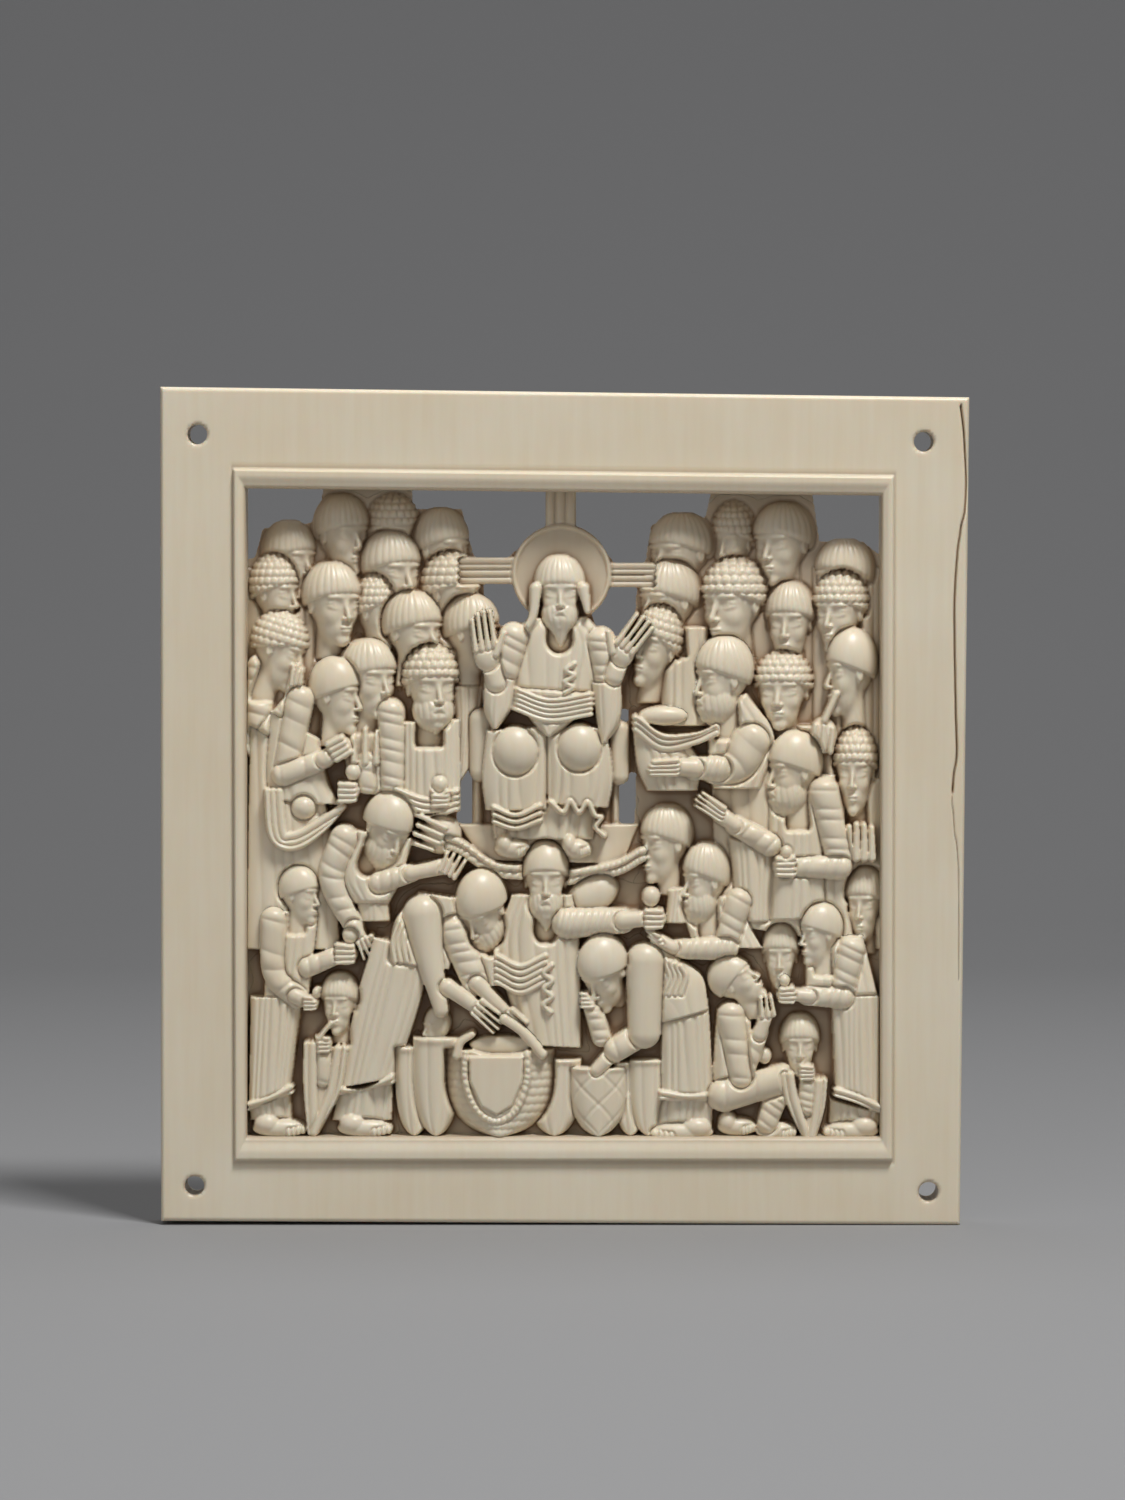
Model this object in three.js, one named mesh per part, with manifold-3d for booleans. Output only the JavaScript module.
// Pierced ivory relief plaque: a crowd of figures and a seated figure carved in one
// with a flat border and a raised moulding.
// Millimetres. X runs right, Z runs up, the back face is the plane y = 0 and the
// carving faces -Y, so a height h above the back lies at y = -h.
import * as THREE from 'three';
import { mergeVertices } from 'three/addons/utils/BufferGeometryUtils.js';
import Module from 'manifold-3d';

const wasm = await Module();
wasm.setup();

// Driving dimensions of the panel.
const plate = {
  left: -61.0,
  right: 61.3,
  topLeft: 63.5,
  topRight: 61.5,
  bottomLeft: -63.2,
  bottomRight: -63.8,
  height: 8.1,
  edge: 0.7,
};
const opening = { left: -48.1, right: 48.1, bottom: -50.3, top: 47.6 };
const moulding = { left: 1.8, right: 1.7, top: 2.7, bottom: 3.4, height: 9, round: 0.7 };
const ground = { top: 2, bottom: 4.8, lap: 1, behind: 1 };
const pinHoles = {
  radius: 1.5,
  sides: 12,
  places: [[-55.4, 56.3], [54.5, 55.3], [-56.1, -57.8], [55.5, -58.6]],
};
const chip = { along: 3.2, down: 2.2, middle: 0.5 };
const notch = { top: -0.4, bottom: -4.6, depth: 1.2, mouth: 0.4 };
const crack = {
  width: 0.36,
  depth: 0.9,
  path: [[60.2, 60.6], [60.9, 49], [59.7, 38], [59.2, 30], [59.4, 16], [59.2, 4], [59, -3], [60, -26]],
};

// Shared proportions of the carving.
const headDepth = 0.44;
const headSides = 10;
const headBehind = 0.08;
const limbSides = 5;
const clothBack = 1;
const facetError = 0.46;
const touchGap = 0.01;
const basketAxis = 3;
const sleeveFold = 0.84;
const barStep = 0.4;
const mouldingDip = 0.2;

const ivory = new THREE.MeshStandardMaterial({ name: 'ivory', color: 0xd9cdb4, roughness: 0.42 });

// Closed three.js geometry to solid, with shared corners merged and flat triangles dropped.
function toSolid(geometry) {
  const bare = new THREE.BufferGeometry();
  bare.setAttribute('position', geometry.attributes.position);
  if (geometry.index) {
    bare.setIndex(geometry.index);
  }
  const merged = mergeVertices(bare, 1e-4);
  const corners = Array.from(merged.index.array);
  const kept = [];
  for (let i = 0; i < corners.length; i += 3) {
    const [a, b, c] = corners.slice(i, i + 3);
    if (a !== b && b !== c && c !== a) {
      kept.push(a, b, c);
    }
  }
  const mesh = new wasm.Mesh({
    numProp: 3,
    vertProperties: new Float32Array(merged.attributes.position.array),
    triVerts: new Uint32Array(kept),
  });
  const solid = new wasm.Manifold(mesh);
  return solid.volume() < 0 ? toSolid(flipped(merged)) : solid;
}

// The same surface with its faces turned the other way.
function flipped(geometry) {
  const index = Array.from(geometry.index.array);
  for (let i = 0; i < index.length; i += 3) {
    [index[i + 1], index[i + 2]] = [index[i + 2], index[i + 1]];
  }
  const turned = geometry.clone();
  turned.setIndex(index);
  return turned;
}

// Moves every corner of a geometry to where shape(point) puts it.
function warp(geometry, shape) {
  const position = geometry.attributes.position;
  const point = new THREE.Vector3();
  for (let i = 0; i < position.count; i += 1) {
    point.fromBufferAttribute(position, i);
    const moved = shape(point);
    position.setXYZ(i, moved.x, moved.y, moved.z);
  }
  return geometry;
}

// Point at fraction t along a list of [x, z] stations, smoothed where there are three or more.
function along(stations, t) {
  const points = stations.map(([x, z]) => new THREE.Vector3(x, 0, z));
  const curve = points.length > 2
    ? new THREE.CatmullRomCurve3(points, false, 'catmullrom', 0.5)
    : new THREE.LineCurve3(points[0], points[1]);
  return curve.getPoint(t);
}

// Locks of hair: how far the hair is cut back at one column and ring.
const hairCut = {
  striped: (column) => 1 - 0.1 * (column % 2),
  curls: (column, ring) => 1 - 0.11 * ((column + ring) % 2),
  smooth: () => 1,
};

// Rings of a head from the crown to the chin, as shares of its height and of half its width,
// with the share that the front column adds for brow, nose and chin.
const headRings = [
  { rise: 0.5, spread: 0, front: 0 },
  { rise: 0.33, spread: 0.82, front: 0, hair: true },
  { rise: 0.05, spread: 1, front: 0, hair: true },
  { rise: 0, spread: 0.84, front: 0 },
  { rise: -0.16, spread: 0.82, front: 0.24 },
  { rise: -0.34, spread: 0.64, front: 0.02 },
  { rise: -0.5, spread: 0, front: 0 },
];

// A head under its bowl of hair. top is the crown's z, front the height of its nearest point,
// turn its facing (positive to the right), lean its tilt (positive clockwise) and nod its bow.
// A head beside a gap is cut from the full thickness of the ground.
function head(x, top, width, tall, front, turn, hair, { lean = 0, nod = 0, beard = 0, gap = false } = {}) {
  const half = tall / 2;
  const degrees = THREE.MathUtils.degToRad;
  const pose = new THREE.Matrix4().makeRotationY(degrees(lean));
  pose.multiply(new THREE.Matrix4().makeRotationZ(degrees(turn)));
  pose.multiply(new THREE.Matrix4().makeRotationX(degrees(nod)));
  const nape = 0.1 * tall;
  const depth = width * headDepth;
  const profile = headRings.map(({ spread }, k) => new THREE.Vector2(spread > 0 ? 1 : 0, k));
  const form = warp(new THREE.LatheGeometry(profile, headSides), (p) => {
    const ring = Math.round(p.y);
    const { rise, spread, front: jut, hair: isHair } = headRings[ring];
    const angle = Math.atan2(p.x, p.z);
    const column = (Math.round(angle * headSides / (2 * Math.PI)) + headSides) % headSides;
    const cut = isHair ? hairCut[hair](column, ring) : 1;
    const ahead = column === 0 ? jut : 0;
    const radius = spread * cut * width / 2;
    const drop = ring === headRings.length - 1 ? beard : 0;
    const local = new THREE.Vector3(
      Math.sin(angle) * radius,
      -Math.cos(angle) * (radius + ahead * width / 2) - drop * 0.3,
      rise * tall - drop + (isHair ? Math.cos(angle) * nape * (0.5 - rise) : 0),
    ).applyMatrix4(pose);
    const height = local.y > width * headBehind ? clothBack : front - depth - local.y * headDepth * 2;
    return new THREE.Vector3(x + local.x, -height, top - half + local.z);
  });
  return gap ? [toSolid(form), headBack(x, top, width, tall)] : [toSolid(form)];
}

// Elliptic back that carries a head beside a gap down to the back plane.
function headBack(x, top, width, tall) {
  const disc = new THREE.CylinderGeometry(1, 1, ground.top + ground.behind, 12);
  disc.scale(width * 0.47, 1, tall * 0.48);
  return toSolid(disc.translate(x, (ground.behind - ground.top) / 2, top - tall / 2));
}

// A round limb or strand along a path. radius is one value or [start, end]; each ring is a
// fold of its sleeve.
function limb(radius, front, rings, path, sides = limbSides) {
  const [first, last] = Array.isArray(radius) ? radius : [radius, radius];
  const steps = Math.max(rings, path.length > 2 ? 3 : 1);
  const tube = new THREE.CylinderGeometry(1, 1, 1, sides, steps).rotateY(Math.PI / sides);
  return [toSolid(warp(tube, (p) => {
    const t = 0.5 - p.y;
    const here = along(path, t);
    const ahead = along(path, Math.min(1, t + 0.01));
    const behind = along(path, Math.max(0, t - 0.01));
    const heading = ahead.sub(behind).normalize();
    const step = Math.round(t * steps);
    const fold = rings > 0 && step % 2 === 0 ? sleeveFold : 1;
    const width = THREE.MathUtils.lerp(first, last, t) * fold;
    const centre = front - Math.max(first, last);
    const height = p.z < -0.4 ? clothBack : centre + p.z * width;
    return new THREE.Vector3(here.x - heading.z * p.x * width, -height, here.z + heading.x * p.x * width);
  }))];
}

// A cloth between two edges, both listed from top to bottom, with ridges running along it.
function cloth(front, folds, left, right, { deep = 0.7, crown = 1.2 } = {}) {
  const [upper, lower] = Array.isArray(front) ? front : [front, front];
  const columns = folds * 2;
  const rows = Math.max(left.length, right.length) > 2 ? 2 : 1;
  const panel = new THREE.BoxGeometry(1, 1, 1, columns, 1, rows);
  return [toSolid(warp(panel, (p) => {
    const u = p.x + 0.5;
    const v = 0.5 - p.z;
    const place = along(left, v).lerp(along(right, v), u);
    const swell = crown * (1 - (2 * u - 1) ** 2) - crown;
    const fold = Math.round(u * columns) % 2 === 0 ? -deep : 0;
    const height = THREE.MathUtils.lerp(upper, lower, v) + swell + fold;
    return new THREE.Vector3(place.x, p.y < 0 ? -height : -clothBack, place.z);
  }))];
}

// A round thing such as a fist, a loaf or a knee; its nearest point lies at front.
function ball(x, z, radiusX, radiusZ, front, depth = Math.min(radiusX, radiusZ)) {
  const big = radiusX + radiusZ > 5;
  const round = new THREE.SphereGeometry(1, big ? 7 : 6, big ? 6 : 4);
  round.rotateZ(Math.PI / 2).rotateY(Math.PI / 2);
  return [toSolid(warp(round, (p) => {
    const height = p.y > 0.1 ? clothBack : front - depth - p.y * depth;
    return new THREE.Vector3(x + p.x * radiusX, -height, z + p.z * radiusZ);
  }))];
}

// Fingers side by side, from their roots to their tips.
function fingers(count, radius, front, roots, tips) {
  const rows = [];
  for (let i = 0; i < count; i += 1) {
    const root = along(roots, i / (count - 1));
    const tip = along(tips, i / (count - 1));
    rows.push(...limb([radius, radius * 0.8], front, 0, [[root.x, root.z], [tip.x, tip.z]], 4));
  }
  return rows;
}

// A straight block from one corner to the other, standing on the ground.
function block(left, right, bottom, top, height) {
  const box = new THREE.BoxGeometry(right - left, height - clothBack, top - bottom);
  return [toSolid(box.translate((left + right) / 2, -(height + clothBack) / 2, (bottom + top) / 2))];
}

// A round woven basket with a hollow mouth, banded where its rings of weaving stand proud.
function basket(x, top, bottom, half, front) {
  const tall = top - bottom;
  const bands = [[0, 0], [0.7, 0], [0.98, 0.45], [1, 0.74], [0.92, 0.78], [0.96, 1], [0.72, 1], [0, 0.86]];
  const profile = bands.map(([spread, rise]) => new THREE.Vector2(spread, rise));
  const bowl = new THREE.LatheGeometry(profile, 8, Math.PI / 8);
  const depth = front - basketAxis;
  return [toSolid(warp(bowl, (p) => {
    const height = p.z < -0.01 ? clothBack : basketAxis + p.z * depth;
    return new THREE.Vector3(x + p.x * half, -height, bottom + p.y * tall);
  }))];
}

// A bare foot or shoe lying on the bottom edge.
function foot(left, right, top, front) {
  return ball((left + right) / 2, top - 1.3, (right - left) / 2, 1.7, front, 2.4);
}

// Left crowd, its rows from the back to the front, all looking to the right.
const leftCrowd = [
  head(-41.9, 43.5, 8.3, 12.6, 4.6, 45, 'striped', { gap: true }),
  head(-33.9, 47.5, 8.3, 13, 4.4, 35, 'striped', { gap: true }),
  head(-25.9, 47.3, 8.2, 12.5, 4.4, 30, 'curls'),
  head(-18.7, 45.4, 8.7, 13, 4.8, 45, 'striped', { gap: true }),
  head(-26.4, 41.9, 9.4, 13.2, 5.4, 30, 'striped'),
  head(-17.2, 38.7, 9.2, 13.2, 5.8, 50, 'curls', { gap: true }),
  head(-44.1, 38.3, 7.6, 12.5, 5.4, 60, 'curls', { gap: true }),
  head(-28.8, 35.2, 6, 12, 5.2, 60, 'curls'),
  head(-35.4, 37.2, 9.1, 13.2, 6.2, 35, 'striped'),
  head(-14.2, 32.3, 8.9, 10, 5.6, 60, 'striped', { gap: true }),
  head(-23.2, 32.8, 9.3, 13.2, 6.5, 60, 'striped'),
  head(-43.2, 29.6, 8.6, 11.8, 6.6, 70, 'curls', { lean: 16 }),
  head(-29.9, 25.5, 8.9, 12.5, 6.9, 40, 'striped'),
  head(-20.3, 24.6, 8.7, 13.2, 7.4, 25, 'curls', { beard: 2 }),
  head(-34.9, 22.7, 8, 12.1, 7.4, 70, 'smooth'),
  head(-26.6, 2.2, 7.9, 10.4, 8.4, 45, 'smooth', { lean: 12, nod: 20, beard: 1.5 }),
];

// Right crowd, looking to the left.
const rightCrowd = [
  head(18.1, 44.7, 10.1, 13, 4.6, -40, 'striped', { gap: true }),
  head(26, 46.1, 6.8, 12.5, 4.4, -30, 'curls', { gap: true }),
  head(33.6, 46.2, 9.5, 13, 4.6, -35, 'striped', { gap: true }),
  head(42.9, 40.7, 9.1, 12.8, 5, -40, 'striped', { gap: true }),
  head(16.3, 37.5, 9.4, 13.4, 5.4, -50, 'striped', { gap: true }),
  head(26.2, 37.8, 10.3, 14.2, 5.8, -45, 'curls'),
  head(34.6, 34.2, 7.8, 12.8, 5.6, -15, 'striped'),
  head(42.3, 35.8, 8.5, 12.8, 5.8, -30, 'curls'),
  head(14.6, 30.6, 7.6, 13.4, 6.2, -50, 'curls', { lean: 14, gap: true }),
  head(33.5, 23.5, 8.9, 12, 6.6, -10, 'curls'),
  head(43.9, 27.1, 7.9, 13.6, 6.6, -70, 'smooth'),
  head(24.5, 25.9, 9, 13.4, 7.4, -65, 'striped', { beard: 1 }),
  head(44.5, 12, 6.7, 13.8, 7, -10, 'curls'),
  head(35.3, 11.5, 8.5, 12.6, 7.6, -65, 'smooth', { beard: 1 }),
  head(46, -9.1, 6.2, 11.7, 6.4, -20, 'striped'),
  head(15.8, 0.3, 8.1, 12.4, 6.6, -60, 'striped'),
  head(21.8, -5.4, 7.3, 12.4, 7.6, -65, 'striped', { beard: 1.5 }),
  head(33.1, -17.8, 5.8, 10.2, 6.8, -5, 'striped'),
];

// Givers, eaters and servants round the baskets below.
const lowerHeads = [
  head(-40.3, -9.1, 6.2, 8.2, 7.8, 65, 'smooth'),
  head(-34, -25.3, 6, 9.7, 7.8, -15, 'striped'),
  head(-19.1, -30.4, 4.7, 6.3, 6.8, -70, 'smooth'),
  head(4.2, -10.3, 7.6, 7, 6.2, -20, 'striped', { lean: 25 }),
  head(9.9, -10.8, 4, 4.6, 5.8, 0, 'striped'),
  head(-2.7, -5.2, 7.1, 11, 7.8, 0, 'smooth', { beard: 3 }),
  head(-12.5, -9.5, 8, 9.4, 8.5, -35, 'smooth', { nod: 30, beard: 1.5 }),
  head(6, -19.5, 7.9, 8.7, 8.6, -35, 'smooth', { nod: 30 }),
  head(39.3, -14.7, 6.5, 9.3, 8, -65, 'smooth'),
  head(25.4, -23, 7.2, 8.4, 8, 65, 'smooth', { lean: -40 }),
  head(36, -31.6, 6, 9.9, 7.8, 0, 'striped'),
];

// Arms, cloth and food of the crowd on the left.
const leftBodies = [
  limb(1.5, 6.4, 4, [[-46.2, 20], [-46.4, 9]]),
  limb([1.5, 1.2], 6.8, 3, [[-45.4, 10.6], [-40.2, 17.2]]),
  ball(-40.8, 18.6, 1.5, 1.6, 7),
  cloth([6.4, 6], 6, [[-46, 10], [-47.6, -4], [-47.6, -20]], [[-37, 6], [-34, -4], [-33, -19]]),
  limb([2, 1.7], 7.4, 3, [[-40.2, 15.5], [-42.4, 5.2]]),
  limb([1.7, 1.3], 7.8, 2, [[-42.4, 4.9], [-35.6, 7.4]]),
  ball(-33.9, 8.8, 2.1, 2.2, 8),
  limb(0.95, 8.2, 0, [[-44.7, 2.2], [-43.8, -5.2], [-40, -5.9], [-36, -2.9], [-33.6, -0.4]]),
  ball(-39.5, -0.3, 1.9, 1.9, 7.6),
  ball(-32.6, 2, 2, 2, 7.8),
  ball(-32, 5, 1.3, 1.3, 7.6),
  cloth([6.2, 6.6], 2, [[-33, 12], [-31.6, 3.5]], [[-27.8, 12], [-28, 3]]),
  limb([1.9, 1.6], 7.2, 4, [[-26.2, 13.8], [-25.8, 2.6]]),
  cloth([6.8, 6.8], 4, [[-24.4, 12], [-24.2, -0.6]], [[-16.1, 13], [-15.6, -0.6]]),
  limb(1, 7.4, 0, [[-25, 1.6], [-20.4, 0.2], [-16.2, 1.6]]),
  ball(-18.6, 1.4, 1.6, 1.6, 8),
  ball(-18.8, 3.2, 1.3, 1.3, 8),
  ball(-18.6, -4.5, 3.1, 3.1, 7.8),
  fingers(3, 0.55, 8.2, [[-23, -5.4], [-22.4, -1.6]], [[-19.4, -6.6], [-18, -4]]),
  cloth([8, 8.4], 4, [[-33.5, -3.4], [-35.4, -11], [-31.6, -18]], [[-23, -5], [-25, -12], [-26.6, -18]]),
  limb([2, 1.5], 8.5, 5, [[-33.6, -4.8], [-35.2, -11.4], [-31.8, -18.5]]),
  limb([1.4, 0.9], 8.4, 0, [[-31.8, -18.5], [-29.2, -22.6]]),
  limb([1.6, 1.3], 8.2, 2, [[-27.6, -11.6], [-22.6, -10.2]]),
  limb(1.2, 8.2, 0, [[-22.6, -10.2], [-17.6, -9.4]]),
  fingers(3, 0.5, 8.2, [[-18.4, -10.6], [-16, -11.2]], [[-17.2, -6.2], [-14.8, -7.4]]),
];

// Arms, cloth and food of the crowd on the right.
const rightBodies = [
  cloth([5.6, 6], 3, [[17, 23], [16.6, 16]], [[21.6, 23.5], [21, 14]]),
  cloth([7, 7.4], 5, [[23, 14.6], [22.6, 8], [22.8, 4]], [[27.6, 17], [31.8, 10.4], [29.6, 3]]),
  limb([2.6, 2], 7.8, 3, [[28, 8.6], [24.4, 5.6], [19.8, 5.5]]),
  limb([1.5, 0.7], 7.8, 0, [[19.8, 5.6], [13.4, 5.6]]),
  ball(15.1, 13.6, 3.6, 1.5, 7.2),
  cloth([6.8, 7.2], 4, [[10.2, 11.4], [10.8, 6], [12.4, 2.4]], [[16.6, 10.6], [20.4, 7], [20, 2.4]]),
  cloth([6, 6.4], 4, [[29.6, 11], [30.4, 1]], [[38, 12], [38.4, 3]]),
  ball(39.4, 10.4, 2, 2.6, 7.2),
  limb(0.6, 6.8, 0, [[41.6, 16.8], [39.4, 12.4]]),
  cloth([7.4, 7.6], 4, [[31.4, 0.4], [31.2, -9]], [[38.6, 2], [38.6, -9]]),
  limb([2.1, 1.8], 8, 4, [[39.8, 1.4], [42.2, -9.4]]),
  limb([1.8, 1.4], 8, 2, [[42.2, -9.6], [35, -9.3]]),
  ball(33.4, -9.2, 1.9, 1.9, 8.2),
  ball(33.8, -7.2, 1, 1, 8.2),
  limb([1.7, 1.4], 7.8, 3, [[31.2, -6], [25.6, -2.8]]),
  fingers(3, 0.6, 7.8, [[25.4, -3.6], [25.2, -1.8]], [[20.6, 0], [20.6, 2]]),
  cloth([6.4, 6.8], 4, [[24.6, -5], [26.4, -18]], [[31.6, -7], [31, -18]]),
  cloth([6.8, 7], 5, [[30, -11], [31, -17.6]], [[42, -11.4], [39.6, -17]]),
  fingers(3, 0.6, 7.6, [[43, -8.2], [47, -8.2]], [[43.2, -3], [46.8, -3]]),
  cloth([7.2, 7.6], 5, [[18.4, -16], [20.6, -21.4]], [[25.4, -13.8], [30, -21.4]]),
  limb([1.7, 1.5], 7.8, 4, [[24.4, -21.8], [16, -21.6]]),
  ball(14.7, -20.6, 1.6, 1.4, 7.8),
  cloth([6, 6.4], 4, [[11.6, -11.6], [12, -16]], [[19, -10.4], [17.8, -16]]),
];

// The standing giver and the small eater at the lower left.
const lowerLeft = [
  cloth([7.6, 8.2], 5, [[-44.6, -16.4], [-45.4, -29.6]], [[-37.6, -16.6], [-38.8, -29.6]]),
  limb([1.9, 1.6], 8.4, 4, [[-44.2, -17], [-44, -25.8], [-39.4, -29.8]]),
  ball(-38.3, -30, 1.4, 1.3, 8.4),
  ball(-37.4, -28.4, 1, 1, 8.4),
  limb([1.6, 1.3], 8, 2, [[-38.6, -24.4], [-33.8, -22.6]]),
  ball(-32.9, -22.3, 1.9, 1.9, 8.2),
  ball(-32.4, -19.6, 1.4, 1.4, 8),
  cloth([7.6, 8], 6, [[-47.6, -29.4], [-47.8, -45.6]], [[-39.8, -29.4], [-41.8, -43.4]]),
  limb(0.8, 8.4, 0, [[-47.6, -45.8], [-41.6, -43.3]]),
  cloth([7, 7], 4, [[-47.4, -46], [-47.2, -48]], [[-41.8, -44], [-41.6, -47.6]]),
  foot(-47, -39, -47.6, 8.2),
  ball(-36.5, -36.4, 1.5, 1.4, 8),
  ball(-36.5, -40, 1.5, 2.2, 8),
  limb(1, 7.8, 0, [[-38.8, -36], [-38.4, -49.6]]),
  limb(1.1, 7.8, 0, [[-33.4, -36.4], [-35, -43.5], [-38, -49.6]]),
];

// The large man bending over the baskets, and the small face beside him.
const bendingLeft = [
  cloth([8.4, 8.6], 5, [[-21, -14], [-25.4, -18], [-26.2, -23]], [[-12.6, -15], [-16, -20], [-17.4, -25]]),
  limb([3, 0.9], 8.7, 0, [[-21.2, -16.4], [-19, -31]], 8),
  limb([2.4, 2], 8.2, 3, [[-16.8, -19], [-13.2, -27]]),
  limb([1.2, 0.9], 8, 0, [[-12.4, -27], [-6.4, -34.2]]),
  limb([1.4, 1], 8.4, 0, [[-18.4, -28.4], [-9.8, -35]]),
  cloth([8.2, 8], 5, [[-28.6, -21], [-31.8, -30.6], [-34, -42.6]], [[-22, -22], [-22, -29], [-25.6, -41.6]]),
  limb(0.9, 8.5, 0, [[-34.3, -43.4], [-30.3, -43.7], [-25.8, -41.6]]),
  cloth([7, 7], 4, [[-34.6, -43.4], [-35.2, -47.8]], [[-26, -42.4], [-26.2, -47.8]]),
  foot(-34.4, -26, -47.7, 8.2),
];

// The bearded man standing behind the baskets.
const standingMan = [
  cloth([7, 6.6], 4, [[-14.6, -19], [-13.6, -27]], [[-8.6, -17], [-8.6, -27]]),
  cloth([7, 7.2], 6, [[-7.6, -13.8], [-9.8, -22], [-6.4, -36]], [[0.8, -13.8], [2.2, -20], [2.4, -36]]),
  limb(0.75, 7.8, 0, [[-9.8, -23.4], [-6.4, -24.8], [-3.2, -23.6]]),
  limb(0.75, 7.8, 0, [[-9.8, -26], [-6.4, -27.2], [-3.2, -26]]),
  limb([2.3, 2], 7.8, 6, [[0.4, -17.9], [9, -17.4]]),
  limb([1.5, 1.1], 7.6, 0, [[9, -17.4], [15.4, -16.6]]),
  ball(13.3, -13.7, 1.6, 1.6, 7.4),
  limb(1.6, 7.8, 3, [[4.2, -29.8], [5.8, -35.4]]),
];

// The man bending to the baskets from the right.
const bendingRight = [
  cloth([8, 8.4], 4, [[9.4, -24.6], [14.4, -29], [14.8, -33]], [[15.6, -22.4], [20.8, -26], [21.8, -31]]),
  limb([2.9, 2.4], 8.6, 0, [[12.4, -23.4], [12.3, -34.6]], 8),
  limb([1.9, 1.5], 8.5, 2, [[12, -35], [7.6, -37.6]]),
  limb([1.3, 0.8], 8.2, 0, [[8, -37], [4.6, -40.4]]),
  cloth([8.2, 8], 5, [[14.6, -29.6], [15.2, -43.8]], [[21.8, -29.6], [22.9, -43.8]]),
  limb(0.85, 8.4, 0, [[15, -44], [22.9, -44.3]]),
  cloth([7.2, 7.2], 4, [[15, -44.4], [14.6, -48.6]], [[22.8, -44.4], [22.6, -48.6]]),
  foot(13.4, 22.9, -48.3, 8.2),
];

// The squatting youth, the small eater and the standing giver at the lower right.
const lowerRight = [
  cloth([7.6, 7.6], 3, [[23.6, -31], [22.9, -41], [24.4, -45.4]], [[28.4, -31], [28.2, -40], [27.6, -45]]),
  limb([2, 1.5], 8.2, 0, [[25.4, -31.8], [27, -41.6]]),
  limb([1.5, 1.1], 8.4, 0, [[27, -41.6], [30, -34.4]]),
  ball(31, -30.8, 1.5, 2.2, 8.2),
  limb([2.4, 2], 8.4, 0, [[24.2, -44.2], [33.8, -41.6]]),
  limb([1.6, 1.1], 8, 4, [[33.2, -41.4], [31.2, -48.4]]),
  foot(29.4, 35.4, -48, 8),
  foot(23.4, 29.2, -47.6, 7.4),
  ball(30.6, -38.2, 1.1, 1.3, 7),
  limb(1.3, 8, 3, [[37.2, -40.4], [37, -44.8]]),
  limb(0.95, 7.8, 0, [[33.6, -40], [34.2, -44], [36.8, -50.2]]),
  limb(0.9, 7.8, 0, [[39.4, -41], [39, -45.4], [37.6, -50.2]]),
  cloth([7.8, 8.2], 4, [[37.4, -21], [36.8, -28.6]], [[45.6, -20.6], [48, -29.6]]),
  limb([1.9, 1.6], 8.4, 3, [[43.8, -22.2], [42, -28.8]]),
  limb([1.7, 1.3], 8.2, 2, [[42, -29.2], [35, -28.8]]),
  ball(33.6, -28.8, 1.6, 1.8, 8.2),
  ball(33.6, -26.4, 1, 1, 8),
  cloth([7.8, 8], 6, [[40.8, -29], [41.4, -43.4]], [[48, -29], [48.1, -46]]),
  limb(0.8, 8.3, 0, [[41.4, -43.4], [48, -46]]),
  cloth([7, 7], 4, [[40.4, -44.4], [40.4, -48]], [[48, -46.6], [48, -48.6]]),
  foot(39.4, 48, -48, 8.2),
];

const baskets = [
  basket(-22.6, -36.7, -50.2, 2.8, 7.2),
  basket(-19.2, -35.3, -50.2, 3.4, 7.8),
  basket(10.2, -39, -50.2, 2.4, 7.2),
  basket(12.8, -38.7, -50.2, 2.8, 7),
  basket(-1.4, -38.6, -50.2, 3.9, 7.6),
  basket(5.3, -39.8, -50.2, 4.1, 8.2),
  basket(-9.7, -37, -50.4, 8.3, 8.6),
  limb(0.6, 7.8, 0, [[-16, -38], [-13.8, -34.6]]),
  limb(0.7, 7.8, 0, [[-8.9, -32.6], [-3.1, -38]]),
];

// The seated figure before a halo whose arms reach to the crowd and the moulding.
const halo = { x: -0.3, z: 35.1, radius: 7.6, rim: 0.9, height: 3.4 };
const throne = {
  cushionLeft: [[-12.6, 12.9], [-12.6, 5.3]],
  cushionRight: [[8.7, 11.2], [8.7, 4.6]],
};

function haloDisc() {
  const rise = [[0, 0], [1, 0], [1, 1], [0.89, 1], [0.87, 0.88], [0, 0.88]];
  const points = rise.map(([spread, up]) => {
    const depth = up > 0 ? -up * halo.height : ground.behind;
    return new THREE.Vector2(spread * halo.radius, depth);
  });
  return [toSolid(new THREE.LatheGeometry(points, 24).translate(halo.x, 0, halo.z))];
}

// One arm of the cross behind the head: flat bars side by side.
function crossArm(left, right, bottom, top, bars, upright) {
  const rows = [];
  for (let i = 0; i < bars; i += 1) {
    const low = i / bars;
    const high = (i + 1) / bars;
    const height = i % 2 === 0 ? halo.height : halo.height - barStep;
    const [x0, x1] = upright
      ? [THREE.MathUtils.lerp(left, right, low), THREE.MathUtils.lerp(left, right, high)]
      : [left, right];
    const [z0, z1] = upright
      ? [bottom, top]
      : [THREE.MathUtils.lerp(bottom, top, low), THREE.MathUtils.lerp(bottom, top, high)];
    const box = new THREE.BoxGeometry(x1 - x0, height + ground.behind, z1 - z0);
    rows.push(toSolid(box.translate((x0 + x1) / 2, (ground.behind - height) / 2, (z0 + z1) / 2)));
  }
  return rows;
}

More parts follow.
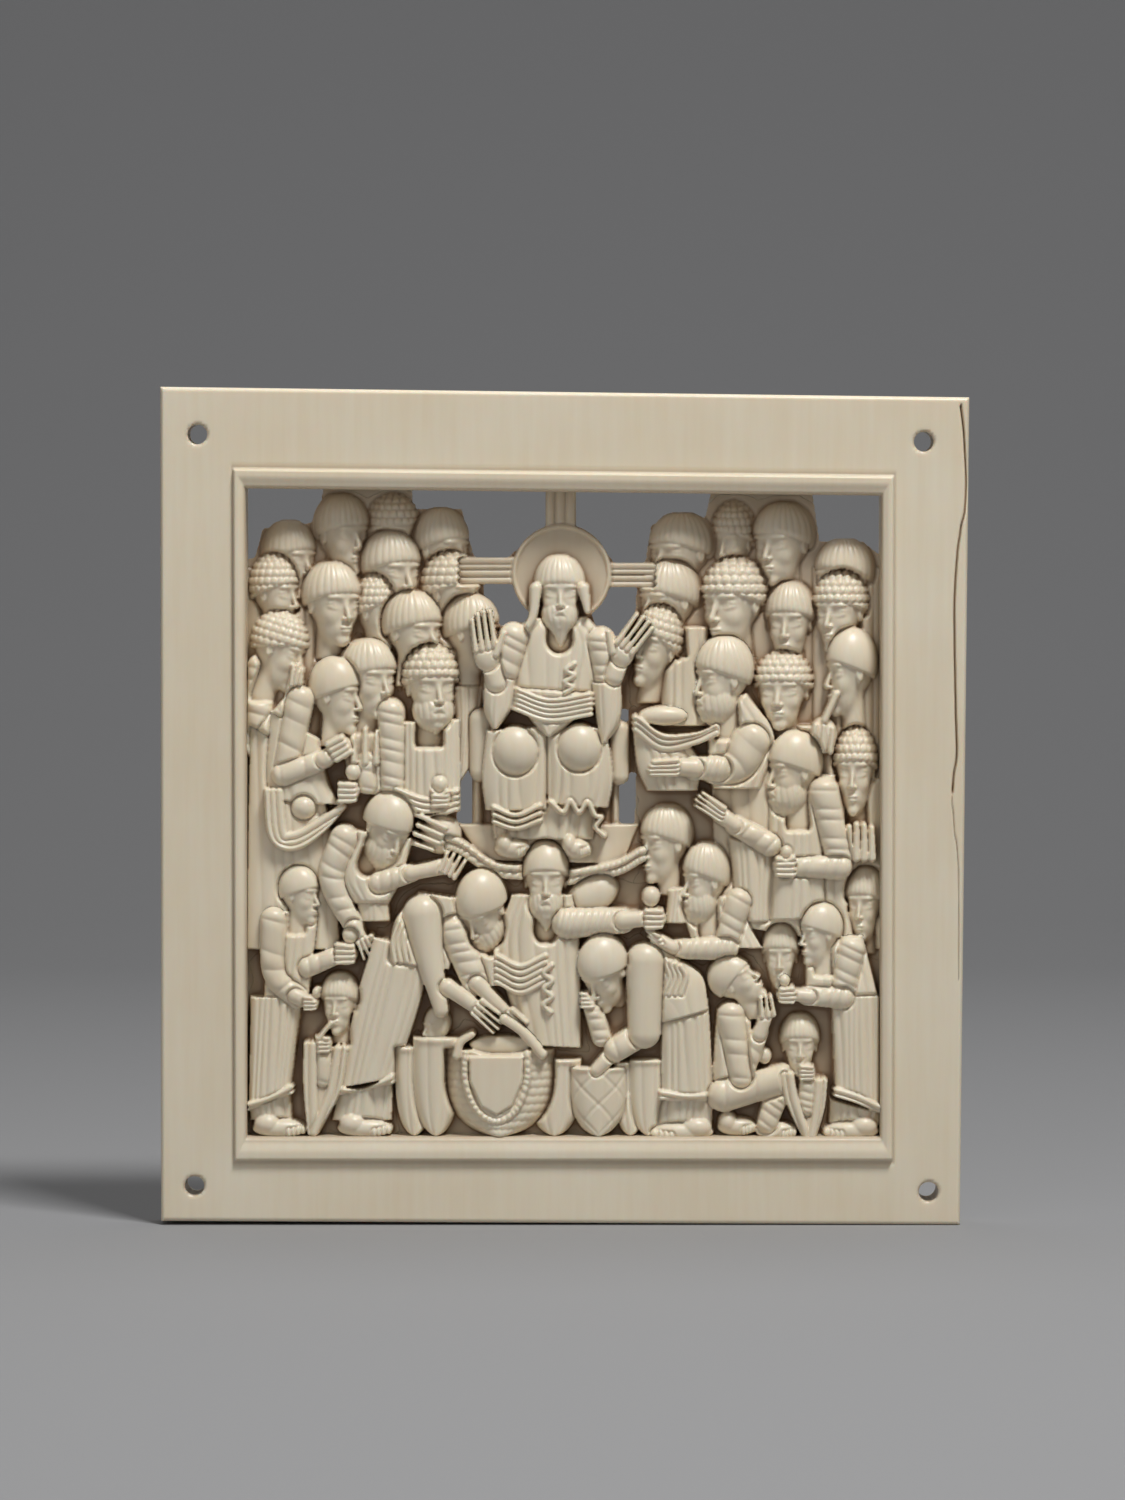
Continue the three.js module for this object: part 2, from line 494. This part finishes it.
const seatedFigure = [
  haloDisc(),
  crossArm(-2.8, 1.8, 42, 48, 3, true),
  crossArm(-15, -7, 33.5, 37.5, 3, false),
  crossArm(6.6, 13.4, 32.9, 36.7, 3, false),
  head(-0.6, 38.2, 7.5, 11.6, 8, 0, 'striped', { beard: 3.6 }),
  cloth([6.6, 7.4], 6, [[-5.6, 28.6], [-9.2, 24.6], [-8.2, 15.6]], [[3.8, 28.8], [7.4, 23.3], [5.4, 15]]),
  cloth([7.8, 8], 4, [[-7.6, 17.8], [-3.4, 11]], [[4.4, 16.8], [-1.4, 10.6]], { deep: 0.5 }),
  limb([2, 1.6], 7.6, 2, [[-8.8, 24], [-9.8, 18.6]]),
  limb([2, 1], 7.8, 3, [[-10, 19.2], [-10.6, 11.6]]),
  ball(-11.4, 22.8, 1.9, 2.2, 7.8, 1.2),
  fingers(3, 0.5, 7.8, [[-13.1, 24], [-9.9, 24.2]], [[-13.4, 28.4], [-10.6, 29.8]]),
  limb([1.9, 1.5], 7.6, 2, [[6.6, 23.4], [6.8, 17.4]]),
  limb([1.9, 0.9], 7.8, 3, [[6.9, 18], [6.2, 9.6]]),
  ball(8.6, 23.2, 1.9, 2.2, 7.8, 1.2),
  fingers(3, 0.5, 7.8, [[8.2, 25], [10.6, 23.4]], [[11.4, 29], [13.4, 27.2]]),
  limb(1.9, 5.4, 0, throne.cushionLeft),
  limb(1.4, 5.2, 0, throne.cushionRight),
  block(-13.8, -12.4, -4.4, 6, 4.2),
  block(7.4, 8.4, -5.2, 5.4, 4.2),
  cloth([8.2, 7.8], 4, [[-11.8, 11.6], [-12.2, 4], [-11.6, -0.8]], [[-2.2, 11.4], [-2.4, 4], [-2.6, -0.8]]),
  cloth([8.2, 7.8], 4, [[-2.2, 11.4], [-2.4, 4], [-2.4, 0.6]], [[6.6, 11.6], [7.3, 4], [7, -0.2]]),
  ball(-7.3, 8.3, 3.4, 3.6, 8.8, 3.4),
  ball(2.4, 8.6, 3.3, 3.5, 8.8, 3.3),
  cloth([6.8, 6.8], 6, [[-10.8, -0.4], [-10, -5.4]], [[5, -0.4], [4.2, -5.2]]),
  ball(-7.7, -7.4, 2.5, 2.5, 8, 2.2),
  ball(2.2, -7.4, 1.7, 2.7, 8, 2),
  cloth([5.2, 5.2], 3, [[-15.6, -4.6], [-13.6, -8.4]], [[9.8, -4.6], [8.4, -8.6]]),
  limb(0.75, 7.2, 0, [[-17.6, -5.1], [-14.8, -6.4], [-10.6, -9.2], [-5.8, -9.6]]),
  limb(0.75, 7.2, 0, [[0.6, -10.5], [8, -9], [11.8, -7]]),
];

// Openings right through the ground, before heads and bars cover their edges.
const gaps = [
  [[-48.1, 47.6], [-36.6, 47.6], [-37.4, 42], [-45.8, 41], [-47, 37.5], [-48.1, 37.5]],
  [[-15, 47.6], [-1.8, 47.6], [-1.8, 38], [-5.6, 40.2], [-8.6, 37.4], [-13.4, 37], [-14.6, 41]],
  [[-12.2, 33.8], [-7.2, 33.8], [-5, 29], [-6, 27], [-8.4, 26.2], [-12, 29.4]],
  [[0.8, 47.6], [22.6, 47.6], [21.6, 43.6], [13.4, 42.6], [12.4, 36.4], [8, 36.4], [5.4, 40], [0.8, 42]],
  [[11.2, 33.2], [6.6, 33.2], [4.2, 29.4], [4.8, 27.4], [8.4, 24.4], [10.8, 27.8]],
  [[37.8, 47.6], [48.1, 47.6], [48.1, 37.8], [45.6, 40], [39, 40]],
  [[-13.6, 16.2], [-11.4, 16], [-11, 13.2], [-13.4, 12.6]],
  [[-16.4, 6.4], [-13.6, 6.4], [-13.6, -4], [-16, -4]],
  [[7.8, 14.8], [10, 14.4], [9.6, 10.8], [7.8, 10.8]],
  [[8.2, 5.2], [11, 4.8], [10.6, -5], [8.4, -5.2]],
];

function outlineShape(points) {
  return new THREE.Shape(points.map(([x, z]) => new THREE.Vector2(x, z)));
}

// A flat outline raised from the back plane to a height.
function raised(points, height, back = 0) {
  const depth = height - back;
  const slab = new THREE.ExtrudeGeometry(outlineShape(points), { depth, bevelEnabled: false });
  return toSolid(slab.rotateX(Math.PI / 2).translate(0, -back, 0));
}

// One closed ring of the border, from its four edges; it may slope from left to right.
function ring(left, right, topLeft, topRight, bottomLeft, bottomRight, height) {
  const corners = [[left, topLeft], [right, topRight], [right, bottomRight], [left, bottomLeft]];
  return { corners, height };
}

function levelRing(grow, height) {
  const { left, right, top, bottom } = opening;
  return ring(
    left - moulding.left * grow,
    right + moulding.right * grow,
    top + moulding.top * grow,
    top + moulding.top * grow,
    bottom - moulding.bottom * grow,
    bottom - moulding.bottom * grow,
    height,
  );
}

function plateRing(inset, height) {
  return ring(
    plate.left + inset,
    plate.right - inset,
    plate.topLeft - inset,
    plate.topRight - inset,
    plate.bottomLeft + inset,
    plate.bottomRight + inset,
    height,
  );
}

// Border and moulding: four mitred sides through a loop of rings.
function border() {
  const round = moulding.round;
  const rings = [
    levelRing(0, 0),
    levelRing(0, moulding.height - round),
    levelRing(0.2, moulding.height - mouldingDip),
    levelRing(0.42, moulding.height),
    levelRing(0.75, moulding.height - mouldingDip),
    levelRing(1, plate.height),
    plateRing(plate.edge, plate.height),
    plateRing(0, plate.height - plate.edge),
    plateRing(0, 0),
  ];
  const loop = [...rings, rings[0]];
  const profile = loop.map((_, k) => new THREE.Vector2(1, k));
  const sweep = new THREE.LatheGeometry(profile, 4);
  return toSolid(warp(sweep, (p) => {
    const { corners, height } = loop[Math.round(p.y)];
    const turn = Math.round(Math.atan2(p.x, p.z) / (Math.PI / 2));
    const [x, z] = corners[(turn + 4) % 4];
    return new THREE.Vector3(x, -height, z);
  }));
}

// What time has taken from the border: the corner chip, the notch, the long crack.
function losses() {
  const reach = plate.height + 1;
  const corner = raised([
    [plate.right - chip.along, plate.topRight + 1],
    [plate.right + 1, plate.topRight + 1],
    [plate.right + 1, plate.topRight - chip.down],
    [plate.right, plate.topRight - chip.down],
    [plate.right - chip.along * chip.middle, plate.topRight - chip.down * chip.middle],
  ], reach, -1);
  const bite = raised([
    [plate.right + 1, notch.top],
    [plate.right - notch.depth * notch.mouth, notch.top],
    [plate.right - notch.depth, (notch.top + notch.bottom) / 2],
    [plate.right - notch.depth * notch.mouth, notch.bottom],
    [plate.right + 1, notch.bottom],
  ], reach, -1);
  const edges = [1, -1].map((side) => crack.path.map(([x, z]) => [x + side * crack.width / 2, z]));
  const split = raised([...edges[0], ...edges[1].reverse()], reach, plate.height - crack.depth);
  const holes = pinHoles.places.map(([x, z]) => {
    const bore = new THREE.CylinderGeometry(pinHoles.radius, pinHoles.radius, reach + 1, pinHoles.sides);
    return toSolid(bore.translate(x, -reach / 2, z));
  });
  return [corner, bite, split, ...holes];
}

// Joins the ground, the border and every carved form, then trims them to the panel.
function plaqueSolid() {
  const { left, right, bottom, top } = opening;
  const lap = ground.lap;
  const sheet = new THREE.BoxGeometry(right - left + 2 * lap, 1, top - bottom + 2 * lap);
  const slope = toSolid(warp(sheet, (p) => {
    const height = p.z > 0 ? ground.top : ground.bottom;
    const y = p.y < 0 ? -height : ground.behind;
    return new THREE.Vector3(p.x + (left + right) / 2, y, p.z + (bottom + top) / 2);
  }));
  const pierced = gaps.reduce((solid, gap) => solid.subtract(raised(gap, ground.bottom, -2)), slope);
  const carved = [
    leftCrowd, rightCrowd, lowerHeads, leftBodies, rightBodies, lowerLeft,
    bendingLeft, standingMan, bendingRight, lowerRight, baskets, seatedFigure,
  ].flat(2);
  const relief = [pierced, ...carved].reduce((sum, solid) => sum.add(solid));
  const room = raised([
    [left - lap, bottom - lap],
    [right + lap, bottom - lap],
    [right + lap, top + lap],
    [left - lap, top + lap],
  ], moulding.height);
  const whole = relief.asOriginal().simplify(facetError).intersect(room).add(border());
  const worn = losses().reduce((solid, loss) => solid.subtract(loss), whole);
  const bodies = worn.decompose();
  return bodies.reduce((best, body) => (body.volume() > best.volume() ? body : best));
}

function toGeometry(solid) {
  const mesh = solid.getMesh();
  const geometry = new THREE.BufferGeometry();
  geometry.setAttribute('position', new THREE.BufferAttribute(new Float32Array(mesh.vertProperties), 3));
  geometry.setIndex(Array.from(mesh.triVerts));
  geometry.computeVertexNormals();
  return parted(geometry);
}

// Where the carving only touches itself at an edge, draws the doubled corners slightly apart.
function parted(geometry) {
  const { position, normal } = geometry.attributes;
  const taken = new Map();
  for (let i = 0; i < position.count; i += 1) {
    const place = [position.getX(i), position.getY(i), position.getZ(i)];
    const key = place.map((value) => Math.round(value / touchGap)).join();
    const shift = -touchGap * 3 * (taken.get(key) ?? 0);
    taken.set(key, (taken.get(key) ?? 0) + 1);
    const outward = [normal.getX(i), normal.getY(i), normal.getZ(i)];
    position.setXYZ(i, ...outward.map((value, k) => place[k] + value * shift));
  }
  return geometry;
}

const plaque = new THREE.Mesh(toGeometry(plaqueSolid()), ivory);
plaque.name = 'plaque';

const group = new THREE.Group();
group.add(plaque);

export default group;
